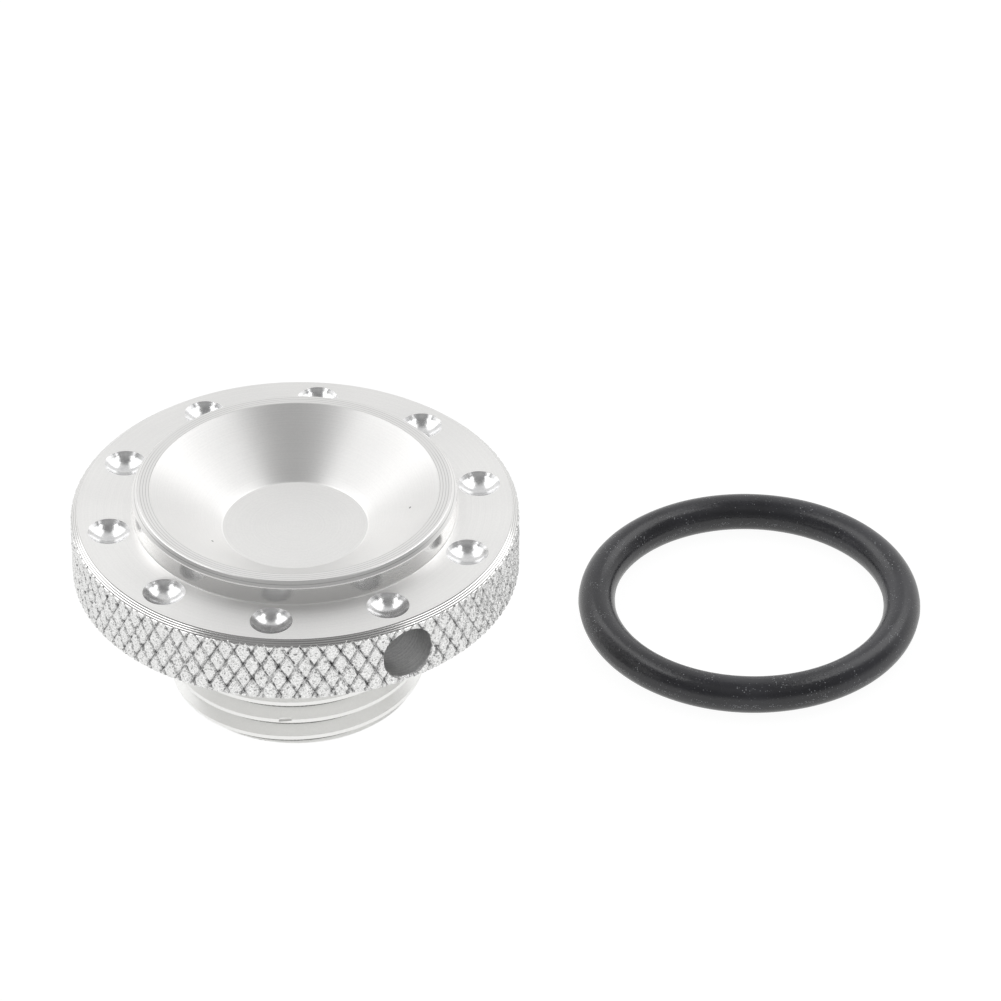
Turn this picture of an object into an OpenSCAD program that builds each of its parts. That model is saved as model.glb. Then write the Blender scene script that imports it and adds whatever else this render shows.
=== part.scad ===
// An oil filler plug turned from one aluminium bar, with its rubber seal ring taken off and lying beside it.
// The plug stands on the end of its thread. The origin is the centre of that end, and the axis of the plug is +Z.

/* [Rim] */
// Diameter of the rim over the knurl
rim_d = 42; // [41.5:0.5:50]
// Height of the rim, from its underside to its flat top face
rim_h = 6.65; // [6.2:0.05:9]
// Width of the bevel on both edges of the rim, measured along the radius
bevel_w = 0.65; // [0.3:0.05:0.75]
// Height of that bevel, measured along the axis
bevel_h = 0.3; // [0.15:0.05:0.5]

/* [Knurl] */
// Number of grooves of each hand around the rim
knurl_count = 80; // [60:1:90]
// Lean of the grooves from the axis, in degrees
knurl_lean = 30; // [20:1:40]
// Angle of the V of a groove, in degrees
knurl_angle = 70; // [60:5:90]
// Depth of the grooves of the deeper hand
knurl_depth = 0.28; // [0.2:0.02:0.4]
// Step from that depth to the depth of the other hand's grooves
knurl_step = 0.03; // [0.02:0.01:0.06]

/* [Boss and dish] */
// Diameter of the raised boss on the rim's top face
boss_d = 30.4; // [29:0.1:31]
// Height of the boss
boss_h = 2.35; // [1:0.05:5]
// Bevel around the top of the boss
boss_bevel = 0.5; // [0.1:0.05:0.8]
// Width of the flat top between that bevel and the dish
boss_lip = 1.2; // [0.5:0.1:4]
// Diameter of the flat floor of the dish
floor_d = 13.7; // [6:0.1:22]
// Depth of the dish below the top of the boss
dish_depth = 4.4; // [1:0.1:7]

/* [Dimples] */
// Number of dimples around the boss
dimple_count = 10; // [3:1:20]
// Diameter of a dimple at the top face
dimple_d = 3.9; // [2:0.1:4]
// Depth of a dimple
dimple_depth = 0.8; // [0.3:0.05:0.85]
// Gap between the boss and each dimple
dimple_gap = 0.47; // [0.1:0.01:0.7]
// Bearing of the first dimple, in degrees from +X towards +Y
dimple_bearing = 12.4; // [0:0.1:36]

/* [Side hole] */
// Diameter of the hole in the rim that takes the turning bar
bar_hole_d = 5.1; // [3:0.1:5.2]
// Depth of that hole, without the drill point
bar_hole_depth = 5.5; // [2:0.1:7]
// Height of its axis above the underside of the rim
bar_hole_up = 3.15; // [3:0.05:3.3]
// Bearing of its axis, in degrees from +X towards +Y
bar_hole_bearing = -58.8; // [-180:0.1:180]

/* [Threaded shank] */
// Major diameter of the thread
thread_d = 24; // [22:0.5:25]
// Length of the shank, from the underside of the rim to its end
shank_l = 13; // [10:0.5:30]
// Bevel at the end of the thread
thread_bevel = 1.3; // [0.5:0.1:2]
// Depth of the relief groove above the thread
relief_depth = 1.3; // [0.5:0.1:2]
// Width of that groove
relief_w = 2; // [1:0.1:3]
// Height of the land that carries the seal ring under the rim
land_h = 2.6; // [1:0.1:3.5]

/* [Seal ring] */
// Inner diameter of the ring
ring_inner_d = 25.8; // [25.5:0.1:30]
// Thickness of the ring's cord
ring_cord_d = 3.55; // [2:0.05:5]
// Room between the ring and its land, on each side
ring_room = 0.1; // [0:0.05:0.15]
// Gap between the rim and the ring that lies beside it
ring_gap = 6.65; // [1:0.05:30]
// Bearing of the ring from the plug, in degrees from +X towards +Y
ring_bearing = 12; // [-180:1:180]

/* [Hidden] */

// Facets to a turn of the large and of the small round forms
$fn = 128;
small_fn = 48;
// How far a cutter reaches past the surface that it cuts
reach = 0.5;
// Half of the angle of a twist drill's point, in degrees
drill_half_angle = 59;

rim_r = rim_d / 2;
face_r = rim_r - bevel_w;
boss_r = boss_d / 2;
dish_r = boss_r - boss_bevel - boss_lip;
floor_r = floor_d / 2;
thread_r = thread_d / 2;
relief_r = thread_r - relief_depth;
land_r = ring_inner_d / 2 - ring_room;
dimple_r = dimple_d / 2;
dimple_circle_r = boss_r + dimple_gap + dimple_r;
// Radius of the ball whose cap is one dimple
dimple_ball_r = (dimple_r * dimple_r + dimple_depth * dimple_depth) / (2 * dimple_depth);

// Heights above the end of the thread
under_z = shank_l;
face_z = under_z + rim_h;
boss_z = face_z + boss_h;
floor_z = boss_z - dish_depth;
land_z = under_z - land_h;
relief_z = land_z - relief_w;
bar_hole_z = under_z + bar_hole_up;
rim_mid_z = under_z + rim_h / 2;

// A pair of opposite grooves crosses at this bearing, at this height above the underside of the rim
cross_bearing = -88.3;
cross_up = 0.95;
// Turn of a groove from the crossing to the middle of the rim
groove_turn = (rim_h / 2 - cross_up) * tan(knurl_lean) / rim_r * 180 / PI;
groove_l = rim_h / cos(knurl_lean) + 2 * reach;

ring_r = ring_cord_d / 2;
ring_mid_r = ring_inner_d / 2 + ring_r;
ring_place = rim_r + ring_gap + ring_mid_r + ring_r;

// Half section of the turned piece, from the end of the thread up to the floor of the dish
module turned_form() {
    rotate_extrude()
    polygon([
        [0, 0],
        [thread_r - thread_bevel, 0],
        [thread_r, thread_bevel],
        [thread_r, relief_z],
        [relief_r, relief_z + relief_depth / 2],
        [relief_r, land_z],
        [land_r, land_z],
        [land_r, under_z],
        [face_r, under_z],
        [rim_r, under_z + bevel_h],
        [rim_r, face_z - bevel_h],
        [face_r, face_z],
        [boss_r, face_z],
        [boss_r, boss_z - boss_bevel],
        [boss_r - boss_bevel, boss_z],
        [dish_r, boss_z],
        [floor_r, floor_z],
        [0, floor_z]
    ]);
}

// Straight V groove across the rim, leaning to one hand
module knurl_groove(hand) {
    depth = hand > 0 ? knurl_depth : knurl_depth - knurl_step;
    wide = (depth + reach) * tan(knurl_angle / 2);
    translate([0, 0, rim_mid_z])
    rotate([hand * knurl_lean, 0, 0])
    linear_extrude(height = groove_l, center = true)
    polygon([[rim_r - depth, 0], [rim_r + reach, -wide], [rim_r + reach, wide]]);
}

// Diamond knurl: grooves of both hands around the rim
module knurl_grooves() {
    for (i = [0 : knurl_count - 1], hand = [-1, 1])
        rotate([0, 0, cross_bearing + i * 360 / knurl_count - hand * groove_turn])
        knurl_groove(hand);
}

// Ring of shallow ball-shaped dimples around the boss
module dimples() {
    for (i = [0 : dimple_count - 1])
        rotate([0, 0, dimple_bearing + i * 360 / dimple_count])
        translate([dimple_circle_r, 0, face_z - dimple_depth + dimple_ball_r])
        sphere(r = dimple_ball_r, $fn = small_fn);
}

// Blind drilled hole for the turning bar, with the drill's point at its end
module bar_hole() {
    point_l = bar_hole_d / 2 / tan(drill_half_angle);
    rotate([0, 0, bar_hole_bearing])
    translate([rim_r + reach, 0, bar_hole_z])
    rotate([0, -90, 0]) {
        cylinder(d = bar_hole_d, h = bar_hole_depth + reach, $fn = small_fn);
        translate([0, 0, bar_hole_depth + reach])
        cylinder(r1 = bar_hole_d / 2, r2 = 0, h = point_l, $fn = small_fn);
    }
}

module plug_body() {
    color("gainsboro")
    difference() {
        turned_form();
        knurl_grooves();
        dimples();
        bar_hole();
    }
}

module seal_ring() {
    color("dimgray")
    rotate([0, 0, ring_bearing])
    translate([ring_place, 0, ring_r])
    rotate_extrude()
    translate([ring_mid_r, 0])
    circle(r = ring_r, $fn = small_fn);
}

plug_body();
seal_ring();
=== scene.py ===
import math

import bpy
import numpy as np
from mathutils import Matrix


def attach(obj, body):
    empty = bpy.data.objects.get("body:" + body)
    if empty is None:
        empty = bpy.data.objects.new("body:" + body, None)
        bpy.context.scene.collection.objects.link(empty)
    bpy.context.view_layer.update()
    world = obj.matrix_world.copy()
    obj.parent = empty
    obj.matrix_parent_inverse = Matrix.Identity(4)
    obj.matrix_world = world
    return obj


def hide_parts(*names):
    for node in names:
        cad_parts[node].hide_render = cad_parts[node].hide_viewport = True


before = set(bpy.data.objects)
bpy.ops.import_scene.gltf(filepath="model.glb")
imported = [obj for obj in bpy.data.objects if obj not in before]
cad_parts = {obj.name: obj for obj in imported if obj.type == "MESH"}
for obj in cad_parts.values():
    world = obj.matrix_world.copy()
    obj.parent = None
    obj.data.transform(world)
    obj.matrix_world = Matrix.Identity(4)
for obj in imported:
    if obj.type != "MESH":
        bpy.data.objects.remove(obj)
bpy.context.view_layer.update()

# The plug's blank, turned from a bar of aluminium: a rim with a bevel on both edges, a boss with a dish in
# it, a land for the seal ring, a relief groove and a shank. It is one closed mesh of rings around the axis,
# from the middle of the dish to the middle of the foot. All sizes are in millimetres.
MM = 0.001

shank_l = 13.0
rim_r, rim_h = 21.0, 6.65
bevel_w, bevel_h = 0.65, 0.3
boss_r, boss_h, boss_bevel, boss_lip = 15.2, 2.35, 0.5, 1.2
floor_r, dish_depth = 6.85, 4.4
thread_r, thread_bevel = 12.0, 1.3
land_r, land_h = 12.8, 2.6
relief_r, relief_w = 10.7, 2.0

face_z = shank_l + rim_h
boss_z = face_z + boss_h
floor_z = boss_z - dish_depth
land_z = shank_l - land_h
relief_z = land_z - relief_w
face_r = rim_r - bevel_w
dish_r = boss_r - boss_bevel - boss_lip

turn_columns = 320
knurl_columns = 1280
blend_w = 0.35                      # the flat strip that joins the rim's fine columns to the coarse ones
edge = 0.06                         # every turned edge is broken by this much
upper_bevel_h = 0.55                # the upper bevel stands steeper than the lower one
line_count, line_depth = 4, 0.034   # the tool's lines on the upper bevel
line_lean = 0.7                     # share of a line's depth along the radius and along the axis


def turned_ring(columns, radius, height):
    """One ring of points around the axis; radius and height are numbers or one number for each column."""
    turn = np.arange(columns) * 2 * math.pi / columns
    radius = np.broadcast_to(radius, columns)
    return np.column_stack([radius * np.cos(turn), radius * np.sin(turn), np.broadcast_to(height, columns)])


def joined_rings(rings, middles=None):
    """Points and faces of the skin over a list of rings. Where one ring has a multiple of the other's
    columns, its points fan out from the other's. Middles gives the true radius in the middle of each quad of
    some pairs of rings, and such a quad is folded along the diagonal that comes nearest to it, so that
    grooves keep straight edges."""
    points = np.vstack(rings)
    starts = np.cumsum([0] + [len(ring) for ring in rings])
    faces = []
    for k in range(len(rings) - 1):
        a0, b0, na, nb = starts[k], starts[k + 1], len(rings[k]), len(rings[k + 1])
        if na == nb:
            i = np.arange(na)
            a, b = a0 + i, b0 + i
            a2, b2 = a0 + (i + 1) % na, b0 + (i + 1) % na
            if middles is None or middles.get(k) is None:
                faces += np.column_stack([a, b, b2, a2]).tolist()
                continue
            far = np.hypot(points[:, 0], points[:, 1])
            one_way, other_way = (far[a] + far[b2]) / 2, (far[b] + far[a2]) / 2
            falling = np.abs(one_way - middles[k]) < np.abs(other_way - middles[k])
            faces += np.column_stack([a, b, b2])[falling].tolist()
            faces += np.column_stack([a, b2, a2])[falling].tolist()
            faces += np.column_stack([a, b, a2])[~falling].tolist()
            faces += np.column_stack([b, b2, a2])[~falling].tolist()
            continue
        coarse0, fine0, coarse, fine = (a0, b0, na, nb) if na < nb else (b0, a0, nb, na)
        step = fine // coarse
        half = step // 2 if coarse > 1 else step
        for i in range(coarse):
            here, onward = coarse0 + i, coarse0 + (i + 1) % coarse
            spread = [fine0 + (i * step + j) % fine for j in range(step + 1)]
            fan = [[here, spread[j], spread[j + 1]] for j in range(half)]
            if coarse > 1:
                fan.append([here, spread[half], onward])
                fan += [[onward, spread[j], spread[j + 1]] for j in range(half, step)]
            faces += fan if na < nb else [face[::-1] for face in fan]
    return points, faces


def closed_mesh(name, points, faces):
    """A Blender mesh of points in millimetres."""
    mesh = bpy.data.meshes.new(name)
    mesh.from_pydata((points * MM).tolist(), [], faces)
    mesh.update()
    return mesh


# The diamond knurl is rolled into the aluminium of the rim by two wheels, one for the grooves of each hand.
# The wheels tear the crests a little, so they are left rough. The knurl is part of the blank's own mesh.
knurl_count = 80
knurl_lean = math.radians(30)
knurl_depth = 0.28
knurl_wall = 1 / math.tan(math.radians(35))   # the wheels' teeth are V-shaped, 70 degrees across
knurl_crown = 0.05      # how far a diamond rounds down from its middle to its edges
cross_turn = math.radians(-88.3)
cross_up = 0.95
knurl_pitch = 2 * math.pi * rim_r / knurl_count
cross_step = knurl_pitch / 2 / math.tan(knurl_lean)
knurl_rows_per_step = 8
knurl_clear = 0.05      # the rows keep this far from both bevels
torn_depth, sway_w = 0.05, 0.035
chance = np.random.default_rng(7)


def groove_depth(turn, up, sway=0.0):
    """Depth of the knurl below the rim's full radius, at a bearing and a height above the underside of the
    rim. Sway moves the grooves aside."""
    deepest = 0
    bottom = knurl_depth - ((up - rim_h / 2) * math.tan(knurl_lean)) ** 2 / (2 * rim_r)
    for hand in (-1, 1):
        along = (turn - cross_turn) * rim_r + hand * (up - cross_up) * math.tan(knurl_lean) + sway
        off = np.abs((along + knurl_pitch / 2) % knurl_pitch - knurl_pitch / 2) * math.cos(knurl_lean)
        reach = knurl_pitch / 2 * math.cos(knurl_lean)
        wall = bottom - off * knurl_wall
        crown = knurl_crown * (1 - off / reach) ** 1.5
        deepest = np.maximum(deepest, np.maximum(wall, crown))
    return deepest


def bevel_line(t):
    """Depth of the turned lines on the upper bevel, from its inner edge at 0 to its outer edge at 1."""
    return line_depth * (0.5 - 0.5 * math.cos(2 * math.pi * line_count * t))


turn = np.arange(knurl_columns) * 2 * math.pi / knurl_columns
half_column = math.pi / knurl_columns

profile = []            # the rim from its face round to its underside: radius and height above the underside
for t in np.linspace(0, 1, 2 * line_count + 1):
    inset = bevel_line(t) * line_lean
    profile.append((face_r + bevel_w * t - inset, rim_h - upper_bevel_h * t - inset))
rows = np.arange(-2, 40) * cross_step / knurl_rows_per_step + cross_up
for up in rows[::-1]:
    if bevel_h + knurl_clear < up < rim_h - upper_bevel_h - knurl_clear:
        profile.append((rim_r, up))
for t in (0, 0.5, 1):
    profile.append((rim_r - bevel_w * t, bevel_h * (1 - t)))


def patches(passes):
    """Smooth random numbers around zero for the rim's rows and columns, wider patches after more passes."""
    field = chance.normal(0, 1, (len(profile), knurl_columns))
    for k in range(passes):
        field = field + np.roll(field, 1, 1) + np.roll(field, 1, 0) + np.roll(field, (1, 1), (0, 1))
    return field / field.std()


torn, sway = patches(1), sway_w * patches(8)
rim_rings, rim_middles = [], {}
for k, (radius, up) in enumerate(profile):
    full = rim_r - groove_depth(turn, up, sway[k])
    if k > 2 * line_count and up > bevel_h:
        full = full - torn_depth * np.clip(torn[k] + 0.3, 0, 2)
    rim_rings.append(turned_ring(knurl_columns, np.minimum(radius, full), shank_l + up))
    if k:
        middle_up = (up + profile[k - 1][1]) / 2
        middle_r = (radius + profile[k - 1][0]) / 2
        middle_sway = (sway[k] + sway[k - 1]) / 2
        middle_full = rim_r - groove_depth(turn + half_column, middle_up, middle_sway)
        rim_middles[k - 1] = np.minimum(middle_r, middle_full)

cone_rows = 8
mark_depth = 0.02       # the facing tool leaves a small mark in the middle of the dish
top = [(0.0, floor_z - mark_depth), (0.08, floor_z - mark_depth), (0.16, floor_z - mark_depth / 5),
       (0.6, floor_z), (floor_r * 0.5, floor_z), (floor_r - edge, floor_z), (floor_r + edge, floor_z + edge)]
for t in np.linspace(0, 1, cone_rows + 1)[1:-1]:
    top.append((floor_r + (dish_r - floor_r) * t, floor_z + dish_depth * t))
top += [(dish_r - edge, boss_z - edge), (dish_r + edge * 0.6, boss_z), (dish_r + boss_lip - edge, boss_z),
        (dish_r + boss_lip + edge * 0.6, boss_z - edge * 0.6),
        (boss_r - edge * 0.6, boss_z - boss_bevel + edge * 0.6), (boss_r, boss_z - boss_bevel - edge),
        (boss_r, face_z + 0.12), (boss_r + 0.05, face_z + 0.02), (boss_r + 0.16, face_z),
        (face_r - 2.6, face_z), (face_r - blend_w, face_z)]
below = [(face_r - blend_w, shank_l), (land_r + 0.2, shank_l), (land_r, shank_l - 0.15),
         (land_r, land_z + 0.2), (land_r - 0.2, land_z), (relief_r + 0.25, land_z),
         (relief_r, land_z - 0.25), (relief_r, relief_z + 0.65),
         (thread_r - edge, relief_z + 0.03), (thread_r, relief_z - edge),
         (thread_r, thread_bevel + edge), (thread_r - edge, thread_bevel - edge),
         (thread_r - thread_bevel + edge, edge), (thread_r - thread_bevel - edge, 0.0), (6.0, 0.0),
         (0.0, 0.0)]

blank_rings = [turned_ring(1 if r == 0 else turn_columns, r, z) for r, z in top]
first_rim = len(blank_rings)
blank_rings += rim_rings
blank_rings += [turned_ring(1 if r == 0 else turn_columns, r, z) for r, z in below]
points, faces = joined_rings(blank_rings, {first_rim + k: v for k, v in rim_middles.items()})
filler_plug = bpy.data.objects.new("filler_plug", closed_mesh("filler_plug", points, faces))
bpy.context.scene.collection.objects.link(filler_plug)

# The thread is a metric one, right-handed, two millimetres a turn. Its groove is swept along the helix as a
# solid and cut out of the shank. It fades into the bevel at the foot and runs out in the relief groove.
thread_pitch = 2.0
crest_flat = 0.4
thread_depth = 1.227
root_r = thread_r - thread_depth
flank = math.tan(math.radians(30))      # the thread's V is 60 degrees across
root_flat = thread_pitch - crest_flat - 2 * (thread_r - root_r) * flank
root_fillet = 0.14      # the strip along the root that is given painted shade
groove_front_z = 4.66   # middle of a turn's groove at the front of the plug
outside = 0.6           # the cutters stand this far out of the metal
steps_a_turn = 120


def thread_cutter():
    """The groove of the thread as one closed solid along its helix."""
    wide = root_flat / 2 + (thread_r + outside - root_r) * flank
    fillet_z = root_flat / 2 + root_fillet * flank
    section = [(root_r, -root_flat / 2), (root_r + root_fillet, -fillet_z), (thread_r + outside, -wide),
               (thread_r + outside, wide), (root_r + root_fillet, fillet_z), (root_r, root_flat / 2)]
    sides = len(section)
    low, high = -1.6, relief_z + 1.0    # from below the foot to the middle of the relief groove
    steps = round((high - low) / thread_pitch * steps_a_turn)
    z = low + np.arange(steps + 1) * thread_pitch / steps_a_turn
    turn = math.radians(-90) + (z - groove_front_z) / thread_pitch * 2 * math.pi
    loops = [np.column_stack([r * np.cos(turn), r * np.sin(turn), z + dz]) for r, dz in section]
    points = np.stack(loops, axis=1).reshape(-1, 3)
    faces = [list(range(sides)), [sides * steps + j for j in reversed(range(sides))]]
    for k in range(steps):
        for j in range(sides):
            a, b = sides * k + j, sides * k + (j + 1) % sides
            faces.append([b, a, a + sides, b + sides])
    return points, faces


# The ten dimples are milled with a ball-nosed cutter. The hole in the rim is drilled, with the drill's point
# at its end. Each cutter is a turned solid, set down at its place. A knock has left a nick on the thread.
dimple_count, dimple_r, dimple_depth, dimple_gap = 10, 1.95, 0.8, 0.47
dimple_circle_r = boss_r + dimple_gap + dimple_r
dimple_turn = math.radians(12.4)
ball_r = (dimple_r ** 2 + dimple_depth ** 2) / (2 * dimple_depth)
hole_r, hole_depth, hole_up = 2.55, 5.5, 3.15
sink_w, sink_h = 0.16, 0.3              # the bevel at the mouth of the hole
hole_turn = math.radians(-58.8)
hole_z = shank_l + hole_up
drill_point_l = hole_r / math.tan(math.radians(59))     # a drill's point is 118 degrees across
nick_turn, nick_z = math.radians(-94.2), 3.92
nick_l, nick_h, nick_depth = 1.2, 0.6, 0.15
nick_slant, nick_lean = 0.14, 0.1
upward = np.array([0, 0, 1])


def ball_cutter(columns=72, rings=14):
    """The part of the ball that reaches below the face, with a fine bevel where it meets the face."""
    widest = math.acos(1 - dimple_depth / ball_r)
    made = [turned_ring(columns, dimple_r + 0.06, face_z + 0.5),
            turned_ring(columns, dimple_r + 0.06, face_z + 0.02),
            turned_ring(columns, dimple_r + 0.012, face_z - 0.02)]
    for t in np.linspace(1, 0, rings)[1:]:
        angle = widest * t
        made.append(turned_ring(1 if t == 0 else columns, ball_r * math.sin(angle),
                                face_z - dimple_depth + ball_r * (1 - math.cos(angle))))
    return joined_rings([turned_ring(1, 0, face_z + 0.5)] + made)


def drill_cutter(columns=96):
    """The drill, standing on its point along +Z, with the rim's surface at zero."""
    outline = [(0, -outside), (hole_r + sink_w, -outside), (hole_r + sink_w, 0), (hole_r, sink_h),
               (hole_r, hole_depth), (0, hole_depth + drill_point_l)]
    points, faces = joined_rings([turned_ring(1 if r == 0 else columns, r, z) for r, z in outline])
    return points, [face[::-1] for face in faces]


def nick_cutter():
    """A small slanted box across the crest of the thread, where the real one has been knocked."""
    outward = np.array([math.cos(nick_turn), math.sin(nick_turn), 0])
    aside = np.array([-math.sin(nick_turn), math.cos(nick_turn), nick_slant])
    steep = upward + nick_lean * outward
    corners = []
    for r in (thread_r - nick_depth, thread_r + outside):
        for a in (-1, 1):
            for u in (-1, 1):
                middle = r * outward + nick_z * upward
                corners.append(middle + nick_l / 2 * a * aside + nick_h / 2 * u * steep)
    sides = [[0, 1, 3, 2], [4, 6, 7, 5], [0, 2, 6, 4], [1, 5, 7, 3], [0, 4, 5, 1], [2, 3, 7, 6]]
    return np.array(corners), sides


def cut(blank, name, cutters):
    """Cuts one or more closed solids out of the blank."""
    points, faces, start = [], [], 0
    for cutter_points, cutter_faces in cutters:
        points.append(cutter_points)
        faces += [[start + i for i in face] for face in cutter_faces]
        start += len(cutter_points)
    tool = bpy.data.objects.new(name, closed_mesh(name, np.vstack(points), faces))
    bpy.context.scene.collection.objects.link(tool)
    cutting = blank.modifiers.new(name, "BOOLEAN")
    cutting.operation, cutting.solver, cutting.object = "DIFFERENCE", "MANIFOLD", tool
    bpy.context.view_layer.update()
    seen = blank.evaluated_get(bpy.context.evaluated_depsgraph_get())
    made = bpy.data.meshes.new_from_object(seen)
    blank.modifiers.clear()
    blank.data = made
    bpy.data.objects.remove(tool)


balls = []
ball_points, ball_faces = ball_cutter()
for k in range(dimple_count):
    bearing = dimple_turn + k * 2 * math.pi / dimple_count
    dimple_at = [dimple_circle_r * math.cos(bearing), dimple_circle_r * math.sin(bearing), 0]
    balls.append((ball_points + dimple_at, ball_faces))
cut(filler_plug, "thread_groove", [thread_cutter()])
cut(filler_plug, "thread_nick", [nick_cutter()])
cut(filler_plug, "dimple_balls", balls)

drill_points, drill_faces = drill_cutter()
inward = np.array([-math.cos(hole_turn), -math.sin(hole_turn), 0])
across = np.array([math.sin(hole_turn), -math.cos(hole_turn), 0])
mouth = hole_z * upward - rim_r * inward
drill_x, drill_y, drill_z = drill_points[:, :1], drill_points[:, 1:2], drill_points[:, 2:]
drill_points = mouth + drill_x * across + drill_y * upward + drill_z * inward
cut(filler_plug, "drill", [(drill_points, drill_faces)])


# Bare aluminium shows how each surface was cut. The turned ones carry fine rings, which stretch a light
# across them. The dimples are smooth, and the knurl and the hole are rough. Each finish is its own material.
class Wire:
    """A socket of a shader's nodes. Arithmetic on it adds Math nodes."""

    def __init__(self, tree, socket=None):
        self.tree, self.socket = tree, socket

    def node(self, kind, settings=None, inputs=None, out=0):
        """A node of one kind, with its settings first and then the values or links of its sockets."""
        made = self.tree.nodes.new("ShaderNode" + kind)
        for name, value in (settings or {}).items():
            if name == "stops":
                for stop in value[2:]:
                    made.color_ramp.elements.new(stop[0])
                for element, (place, level) in zip(made.color_ramp.elements, value):
                    element.position, element.color = place, (level, level, level, 1)
            else:
                setattr(made, name, value)
        for name, value in (inputs or {}).items():
            if isinstance(value, Wire):
                self.tree.links.new(value.socket, made.inputs[name])
            else:
                made.inputs[name].default_value = value
        return Wire(self.tree, made.outputs[out] if made.outputs else None)

    def parts(self):
        """The x, y and z of a vector."""
        split = self.node("SeparateXYZ", {}, {0: self}).socket.node
        return [Wire(self.tree, socket) for socket in split.outputs]

    def maths(self, operation, a, b=0.0):
        return self.node("Math", {"operation": operation}, {0: a, 1: b})

    def __add__(self, other):
        return self.maths("ADD", self, other)

    __radd__ = __add__

    def __sub__(self, other):
        return self.maths("SUBTRACT", self, other)

    def __rsub__(self, other):
        return self.maths("SUBTRACT", other, self)

    def __mul__(self, other):
        return self.maths("MULTIPLY", self, other)

    __rmul__ = __mul__

    def __truediv__(self, other):
        return self.maths("DIVIDE", self, other)

    def __pow__(self, other):
        return self.maths("POWER", self, other)

    def rise(self, low, high):
        """0 below low, 1 above high and a smooth rise between."""
        smooth = {"interpolation_type": "SMOOTHSTEP"}
        return self.node("MapRange", smooth, {0: self, 1: low, 2: high, 3: 0.0, 4: 1.0})

    def mixed(self, low, high):
        """A colour between two, by this value."""
        return self.node("Mix", {"data_type": "RGBA"}, {0: self, 6: low, 7: high}, out=2)


def material_start(name):
    """A new material with an empty node tree, and a wire in it to start from."""
    made = bpy.data.materials.new(name)
    made.use_nodes = True
    made.node_tree.nodes.clear()
    return made, Wire(made.node_tree)


bright_metal = (0.95, 0.945, 0.935, 1)
dull_metal = (0.88, 0.875, 0.87, 1)
# The darkest metal serves the real specks and tarnish, and the painted shade in the tool's cusps.
stain_and_shade_metal = (0.12, 0.12, 0.12, 1)
speck_places = ((-7.576, -4.136, 18.779), (10.775, -0.823, 20.217))   # two dark specks on the dish


def turned_aluminium(name, roughness, stretch, ring_height, cusp_shade=0.0, line_step=1.0, tarnish=0.0):
    """Bright metal with the tool's fine rings around the axis, painted shade of a given darkness in the
    cusps between the tool's lines, which lie line_step apart, and tarnish that dulls the whole surface."""
    made, start = material_start(name)
    place = start.node("TexCoord", out="Object")
    x, y, z = place.parts()
    radius = (x * x + y * y) ** 0.5
    rings = start.node("TexNoise", {"noise_dimensions": "1D"},
                       {"W": (radius + z * 0.7) / MM, "Scale": 6.0, "Detail": 2.0, "Roughness": 0.6})
    grain = start.node("TexNoise", {}, {"Vector": place, "Scale": 5500.0, "Detail": 2.0})
    cloud = start.node("TexNoise", {}, {"Vector": place, "Scale": 110.0, "Detail": 2.0})
    relief = start.node("Bump", {}, {
        "Strength": 1.0,
        "Distance": ring_height * MM,
        "Height": rings + grain * 0.1,
    })
    pitted = 0.0
    for speck in speck_places:
        centre = [MM * v for v in speck]
        off = start.node("VectorMath", {"operation": "DISTANCE"}, {0: place, 1: centre}, out="Value")
        pitted = pitted + (1.0 - (off / MM).rise(0.07, 0.15))
    worn = 0.4 * cloud.rise(0.3, 0.7) + 0.35 * rings.rise(0.35, 0.65) + 0.35 * grain.rise(0.35, 0.65)
    from_cusp = start.maths("PINGPONG", radius / MM - face_r, line_step / 2)
    # The specks and tarnish are real; the cusps between the tool's lines get painted shade.
    dark = pitted + tarnish + cusp_shade * (1.0 - from_cusp.rise(0.01, 0.04)) * cloud.rise(0.2, 0.5)
    shader = start.node("BsdfPrincipled", {}, {
        "Base Color": dark.mixed(worn.mixed(dull_metal, bright_metal), stain_and_shade_metal),
        "Metallic": 1.0,
        "Roughness": roughness + 0.05 * (cloud - 0.5) + 0.02 * (rings - 0.5),
        "Anisotropic": stretch,
        "Anisotropic Rotation": 0.25,
        "Normal": relief,
    })
    start.node("OutputMaterial", {}, {"Surface": shader})
    return made


def cut_aluminium(name, roughness, grain_size, grain_height, low, high):
    """Metal with an even grain: smooth from the ball cutter, duller on the thread."""
    made, start = material_start(name)
    place = start.node("TexCoord", out="Object")
    grain = start.node("TexNoise", {}, {
        "Vector": place,
        "Scale": 1 / (grain_size * MM),
        "Detail": 4.0,
        "Roughness": 0.65,
    })
    relief = start.node("Bump", {}, {"Strength": 1.0, "Distance": grain_height * MM, "Height": grain})
    shader = start.node("BsdfPrincipled", {}, {
        "Base Color": grain.rise(0.35, 0.65).mixed(low, high),
        "Metallic": 1.0,
        "Roughness": roughness + 0.2 * (grain - 0.5),
        "Normal": relief,
    })
    start.node("OutputMaterial", {}, {"Surface": shader})
    return made


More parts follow.
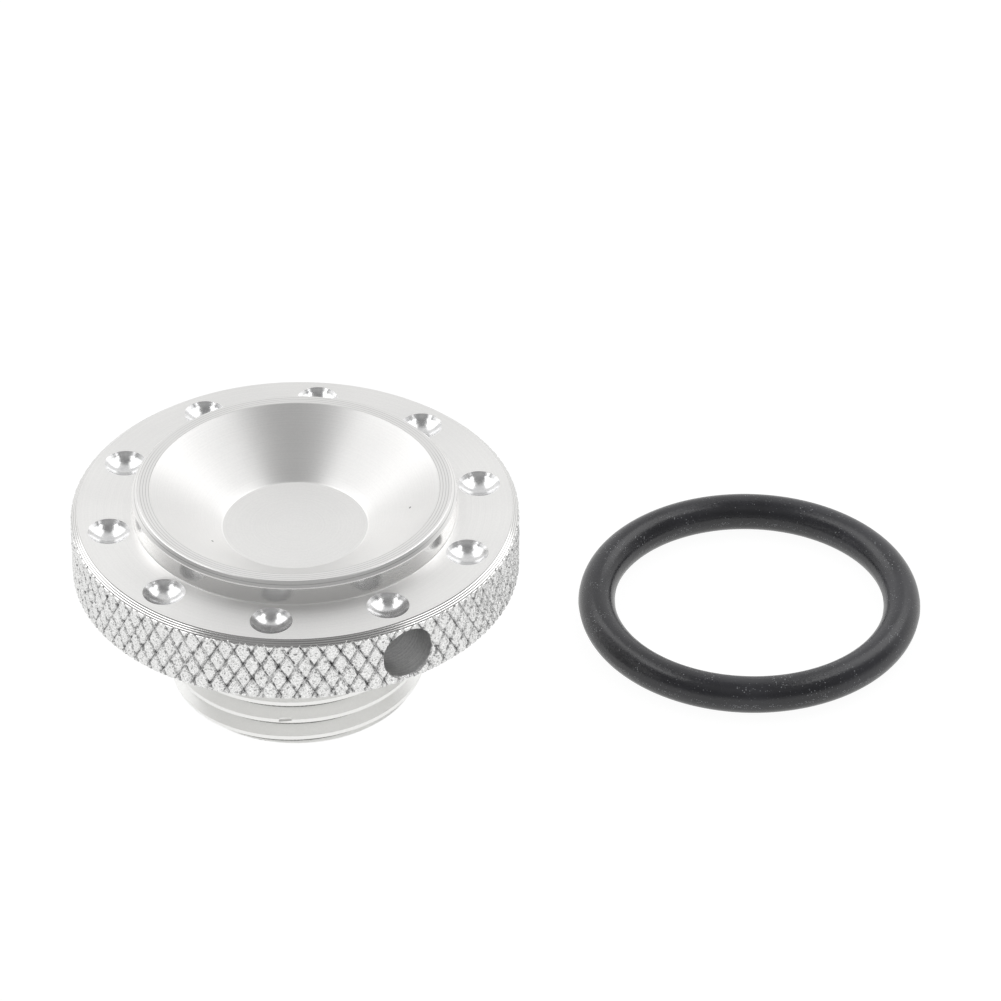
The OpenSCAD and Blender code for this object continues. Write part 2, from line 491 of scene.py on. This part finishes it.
def knurled_aluminium():
    """Torn metal with dark dots and bright flecks, and painted shade in the grooves, most of all where they
    cross.
    """
    made, start = material_start("knurled_rim")
    place = start.node("TexCoord", out="Object")
    x, y, z = place.parts()
    up = z / MM - shank_l
    tear = start.node("TexNoise", {}, {"Vector": place, "Scale": 2200.0, "Detail": 3.0, "Roughness": 0.65})
    fleck = start.node("TexNoise", {}, {"Vector": place, "Scale": 5200.0, "Detail": 1.5, "Roughness": 0.5})
    around = (start.maths("ARCTAN2", y, x) - cross_turn) * rim_r
    lines, crossing = 0.0, 1.0
    line_w = 0.07
    for hand, level in ((-1, 0.65), (1, 0.7)):
        along = around + hand * math.tan(knurl_lean) * (up - cross_up) + 0.25 * (tear - 0.5)
        off = start.maths("PINGPONG", along, knurl_pitch / 2) * math.cos(knurl_lean)
        lines = lines + level * (1.0 - off.rise(0.01, line_w))
        crossing = crossing * (1.0 - off.rise(0.08, 0.36))
    # Painted shade in the knurl's grooves, darkest where the grooves of both hands cross.
    groove_shade = start.maths("MINIMUM", (lines + 0.45 * crossing) * tear.rise(0.32, 0.58), 0.9)
    dots_to_flecks = [(0.32, 0.5), (0.41, 0.86), (0.57, 0.87), (0.64, 1.0)]
    metal = start.node("ValToRGB", {"stops": dots_to_flecks}, {0: fleck})
    relief = start.node("Bump", {}, {
        "Strength": 1.0,
        "Distance": 0.06 * MM,
        "Height": fleck + 0.9 * tear,
    })
    shader = start.node("BsdfPrincipled", {}, {
        "Base Color": groove_shade.mixed(metal, (0.16, 0.16, 0.165, 1)),
        "Metallic": 1.0,
        "Roughness": 0.26 + 0.2 * groove_shade,
        "Normal": relief,
    })
    start.node("OutputMaterial", {}, {"Surface": shader})
    return made


def drilled_aluminium():
    """Rough metal with the drill's rings along the hole, and painted shade that darkens it further in from
    its mouth.
    """
    made, start = material_start("drilled_hole")
    place = start.node("TexCoord", out="Object")
    ahead = {0: place, 1: inward.tolist()}
    along = start.node("VectorMath", {"operation": "DOT_PRODUCT"}, ahead, out="Value")
    deep = along / MM + rim_r
    grain = start.node("TexNoise", {}, {"Vector": place, "Scale": 5000.0, "Detail": 4.0, "Roughness": 0.65})
    rings = start.node("TexNoise", {"noise_dimensions": "1D"}, {"W": deep, "Scale": 5.0, "Detail": 2.0})
    # Painted shade: the hole's colour is lighter at its mouth and darker further in.
    mouth_unshaded = 1.0 - deep.rise(0.8, 2.4)
    shade = mouth_unshaded * 0.4 + 0.35 * rings.rise(0.35, 0.65) + 0.35 * grain.rise(0.4, 0.6)
    relief = start.node("Bump", {}, {"Strength": 1.0, "Distance": 0.02 * MM, "Height": grain * 0.8 + rings})
    shader = start.node("BsdfPrincipled", {}, {
        "Base Color": shade.mixed((0.68, 0.68, 0.685, 1), (1.0, 1.0, 0.995, 1)),
        "Metallic": 1.0,
        "Roughness": 0.45 + 0.2 * (grain - 0.5),
        "Normal": relief,
    })
    start.node("OutputMaterial", {}, {"Surface": shader})
    return made


mesh = filler_plug.data
mesh.materials.clear()
mesh.materials.append(turned_aluminium("turned_aluminium", 0.42, 0.3, 0.0006))
count = len(mesh.polygons)
centres = np.zeros(count * 3)
mesh.polygons.foreach_get("center", centres)
centres = centres.reshape(-1, 3) / MM
far = np.hypot(centres[:, 0], centres[:, 1])
high = centres[:, 2]
finish_of = np.zeros(count, np.int32)


def finish(where, material):
    """Gives the faces of one surface their own material."""
    finish_of[where] = len(mesh.materials)
    mesh.materials.append(material)


in_dimple = (high < face_z - 0.012) & (high > face_z - 1) & (far > boss_r + 0.3) & (far < face_r - 0.1)
dimple_tones = (0.76, 0.76, 0.77, 1), (0.84, 0.84, 0.84, 1)
finish(in_dimple, cut_aluminium("milled_dimple", 0.20, 0.5, 0.0008, *dimple_tones))

on_knurl = (far > face_r + 0.02) & (high < face_z - upper_bevel_h * 0.97)
finish(on_knurl, knurled_aluminium())

from_mouth = centres - mouth
hole_deep = from_mouth @ inward
hole_off = np.linalg.norm(from_mouth - np.outer(hole_deep, inward), axis=1)
in_hole = (hole_off < hole_r + 0.01) & (hole_deep > sink_h - 0.02) & (hole_deep < hole_depth + 2)
finish(in_hole, drilled_aluminium())

in_thread = (far > root_r - 0.1) & (high < relief_z + 0.4) & (high > 0.05)
thread_tones = (0.97, 0.97, 0.96, 1), (1.0, 1.0, 0.99, 1)
finish(in_thread, cut_aluminium("cut_thread", 0.45, 0.3, 0.002, *thread_tones))

# Painted shade: the root of the thread, under each crest, gets a dark finish.
in_root = in_thread & (far < root_r + root_fillet * 0.9)
root_shade_tones = (0.3, 0.3, 0.3, 1), (0.6, 0.6, 0.59, 1)
finish(in_root, cut_aluminium("thread_root", 0.5, 0.2, 0.008, *root_shade_tones))

on_bevel = (far > face_r - 0.01) & (high > shank_l + rim_h / 2) & ~on_knurl & ~in_hole
finish(on_bevel, turned_aluminium("turned_bevel", 0.16, 0.2, 0.0003, 0.5, bevel_w / line_count))

on_floor = (far < floor_r) & (high > floor_z - 0.1)
finish(on_floor, turned_aluminium("faced_floor", 0.42, 0.0, 0.0003))

on_cone = (far > floor_r) & (far < dish_r) & (high > floor_z)
finish(on_cone, turned_aluminium("bored_cone", 0.42, 0.3, 0.0006, tarnish=0.09))

on_wall = (np.abs(far - boss_r) < 0.03) & (high > face_z + 0.1)
finish(on_wall, turned_aluminium("turned_wall", 0.27, 0.3, 0.0003))

on_lip = (far > dish_r) & (far < boss_r - 0.03) & (high > boss_z - boss_bevel)
finish(on_lip, turned_aluminium("turned_lip", 0.33, 0.3, 0.0006, 0.4, 0.27))

mesh.polygons.foreach_set("material_index", finish_of)
mesh.shade_smooth()
mesh.set_sharp_from_angle(angle=math.radians(19))

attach(filler_plug, "root")
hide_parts("plug_body")

# The seal ring, moulded from black rubber in two halves, so that a thin line of flash runs around its inside
# and its outside. It has been taken off the plug and lies flat, a little out of round, with dust on it.
ring_bearing = math.radians(12)
ring_gap = 6.65                         # from the rim to the ring
ring_mid_r, full_cord_r = 14.675, 1.775
ring_cord_r = 1.735                     # thinner than full, which leaves room for the flash
out_of_round = 0.06
flash_h, flash_w = 0.035, math.radians(4)
ring_away = rim_r + ring_gap + ring_mid_r + full_cord_r
ring_turns, cord_turns = 384, 56

bearing = np.arange(ring_turns) * 2 * math.pi / ring_turns
around = np.arange(cord_turns) * 2 * math.pi / cord_turns
bearings, arounds = np.meshgrid(bearing, around, indexing="ij")
flash_wave = 0.6 + 0.4 * np.sin(bearings * 23 + 1.3) * np.sin(bearings * 7 + 0.4)
off_line = np.minimum(np.abs(np.sin(arounds / 2)), np.abs(np.cos(arounds / 2))) * 2
cord = ring_cord_r + flash_h * flash_wave * np.exp(-(off_line / flash_w) ** 2)
middle = ring_mid_r - out_of_round * (1 - np.cos(2 * bearings + 0.8)) / 2
far = middle + cord * np.cos(arounds)
ring_points = np.stack([ring_away * math.cos(ring_bearing) + far * np.cos(bearings),
                        ring_away * math.sin(ring_bearing) + far * np.sin(bearings),
                        ring_cord_r + cord * np.sin(arounds)], axis=-1).reshape(-1, 3)
ring_faces = []
for i in range(ring_turns):
    for j in range(cord_turns):
        here, onward = i * cord_turns, (i + 1) % ring_turns * cord_turns
        j2 = (j + 1) % cord_turns
        ring_faces.append([here + j, onward + j, onward + j2, here + j2])
rubber_ring = bpy.data.objects.new("rubber_ring", closed_mesh("rubber_ring", ring_points, ring_faces))
bpy.context.scene.collection.objects.link(rubber_ring)
rubber_ring.data.shade_smooth()

black_rubber, start = material_start("black_rubber")
place = start.node("TexCoord", out="Object")
skin = start.node("TexNoise", {}, {"Vector": place, "Scale": 2600.0, "Detail": 4.0, "Roughness": 0.6})
bloom = start.node("TexNoise", {}, {"Vector": place, "Scale": 160.0, "Detail": 3.0})
height = place.parts()[2] / MM
grit = {"Vector": place, "Scale": 6000.0}
specks = start.node("TexVoronoi", {"feature": "F1"}, grit, out="Distance")
cells = start.node("TexVoronoi", {"feature": "F1"}, grit, out="Color")
picked = start.node("SeparateColor", {}, {0: cells}, out="Red")
dusty = start.node("TexNoise", {}, {"Vector": place, "Scale": 420.0, "Detail": 3.0})
by_flash = 1.0 - start.maths("ABSOLUTE", height - ring_cord_r + 0.15).rise(0.05, 0.35)
share = 0.15 + 0.35 * dusty.rise(0.46, 0.74) + 0.8 * by_flash * dusty.rise(0.35, 0.6)
dust = (1.0 - specks.rise(0.15, 0.45)) * (share - picked).rise(0.0, 0.3)
rubber_colour = bloom.rise(0.35, 0.7).mixed((0.017, 0.017, 0.022, 1), (0.034, 0.034, 0.042, 1))
relief = start.node("Bump", {}, {"Strength": 1.0, "Distance": 0.02 * MM, "Height": skin + 0.6 * dust})
shader = start.node("BsdfPrincipled", {}, {
    "Base Color": dust.mixed(rubber_colour, (0.36, 0.37, 0.39, 1)),
    "IOR": 1.6,
    "Roughness": 0.27 + 0.25 * (bloom - 0.5) + 0.3 * dust,
    "Normal": relief,
})
start.node("OutputMaterial", {}, {"Surface": shader})
rubber_ring.data.materials.append(black_rubber)

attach(rubber_ring, "root")
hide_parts("seal_ring")

# The table that both pieces lie on: a wide sheet of matt white card. The camera and the metal see it plain
# white, and it keeps the soft shadow of the pieces.
card_half = 3.0     # in metres
card_corners = [(card_half * x, card_half * y, 0) for x, y in ((-1, -1), (1, -1), (1, 1), (-1, 1))]
card_mesh = bpy.data.meshes.new("white_card")
card_mesh.from_pydata(card_corners, [], [[0, 1, 2, 3]])
white_card = bpy.data.objects.new("white_card", card_mesh)
bpy.context.scene.collection.objects.link(white_card)

card_white, start = material_start("card_white")
seen = start.node("LightPath", out="Is Camera Ray")
mirrored = start.node("LightPath", out="Is Glossy Ray")
through = start.node("LightPath", out="Is Transmission Ray")
paper = start.node("BsdfDiffuse", {}, {"Color": (0.80, 0.80, 0.80, 1)})
plain = start.node("Emission", {}, {"Color": (1, 1, 1, 1), "Strength": 1.12})
shown = start.node("Emission", {}, {"Color": (1, 1, 0.99, 1), "Strength": 1.0})
by_eye = start.node("MixShader", {}, {0: seen * 0.85, 1: paper, 2: plain})
in_metal = start.maths("MAXIMUM", mirrored, through) * 0.92
shader = start.node("MixShader", {}, {0: in_metal, 1: by_eye, 2: shown})
start.node("OutputMaterial", {}, {"Surface": shader})
card_mesh.materials.append(card_white)

# The light: two soft boxes that lean over the pieces from behind, one on each side, each with a narrow wing
# towards the front, and a pale backdrop, in a room that is darker overhead and to the sides.


def soft_box(name, toward, along, distance, wide, length, level):
    """A rectangular lamp that faces the pieces from toward, with its length along another direction. Level
    is the brightness that a mirror would show."""
    toward = np.array(toward) / np.linalg.norm(toward)
    along = np.array(along) - np.dot(along, toward) * toward
    along = along / np.linalg.norm(along)
    lamp = bpy.data.lights.new(name, "AREA")
    lamp.shape, lamp.size, lamp.size_y = "RECTANGLE", wide, length
    lamp.energy = level * math.pi * wide * length
    light = bpy.data.objects.new(name, lamp)
    axes = np.column_stack([np.cross(along, toward), along, toward, toward * distance])
    light.matrix_world = Matrix(np.vstack([axes, [0, 0, 0, 1]]).tolist())
    bpy.context.scene.collection.objects.link(light)


soft_box("right_box", (0.50, 0.44, 0.75), (-0.1, -0.8, 0.6), 0.8, 0.45, 0.54, 1.08)
soft_box("left_box", (-0.52, 0.42, 0.75), (0.1, -0.8, 0.6), 0.8, 0.46, 0.54, 1.08)
soft_box("right_wing", (0.43, 0.02, 0.90), (0, -1, 0.1), 0.8, 0.14, 0.26, 2.3)
soft_box("left_wing", (-0.45, 0.0, 0.90), (0, -1, 0.1), 0.8, 0.18, 0.30, 2.0)

room = bpy.data.worlds.new("pale_room")
bpy.context.scene.world = room
room.use_nodes = True
room.node_tree.nodes.clear()
start = Wire(room.node_tree)
ahead, overhead = start.node("TexCoord", out="Generated").parts()[1:]
backdrop = 0.50 * (1.0 - overhead.rise(0.82, 0.99)) + 0.14 * (1.0 - overhead.rise(0.15, 0.55))
behind = 0.16 * (1.0 - ahead.rise(-0.45, -0.1)) * overhead.rise(0.6, 0.8)
sweep = 0.5 * (1.0 - overhead.rise(0.0, 0.25)) * (1.0 - ahead.rise(0.0, 0.5))
level = 0.27 + backdrop * ahead.rise(0.0, 0.5) + behind + sweep
seen = start.node("LightPath", out="Is Camera Ray")
shade = seen.mixed(level.mixed((0, 0, 0, 1), (1, 1, 0.995, 1)), (1, 1, 1, 1))
sky = start.node("Background", {}, {"Color": shade, "Strength": 1.0})
start.node("OutputWorld", {}, {"Surface": sky})

# The camera has a long lens. It stands about 0.6 m away and looks down at the pieces at 36 degrees, from
# where both of them together fill the width of the picture.
look_down = math.radians(36.11)
camera = bpy.data.cameras.new("camera")
camera.sensor_width, camera.lens = 36.0, 237.9
camera.clip_start = 0.01
eye = bpy.data.objects.new("camera", camera)
eye.location = (0.01922, -0.49906, 0.38448)
eye.rotation_euler = (math.radians(90) - look_down, 0, 0)
bpy.context.scene.collection.objects.link(eye)
bpy.context.scene.camera = eye
bpy.context.scene.view_settings.view_transform = "Standard"
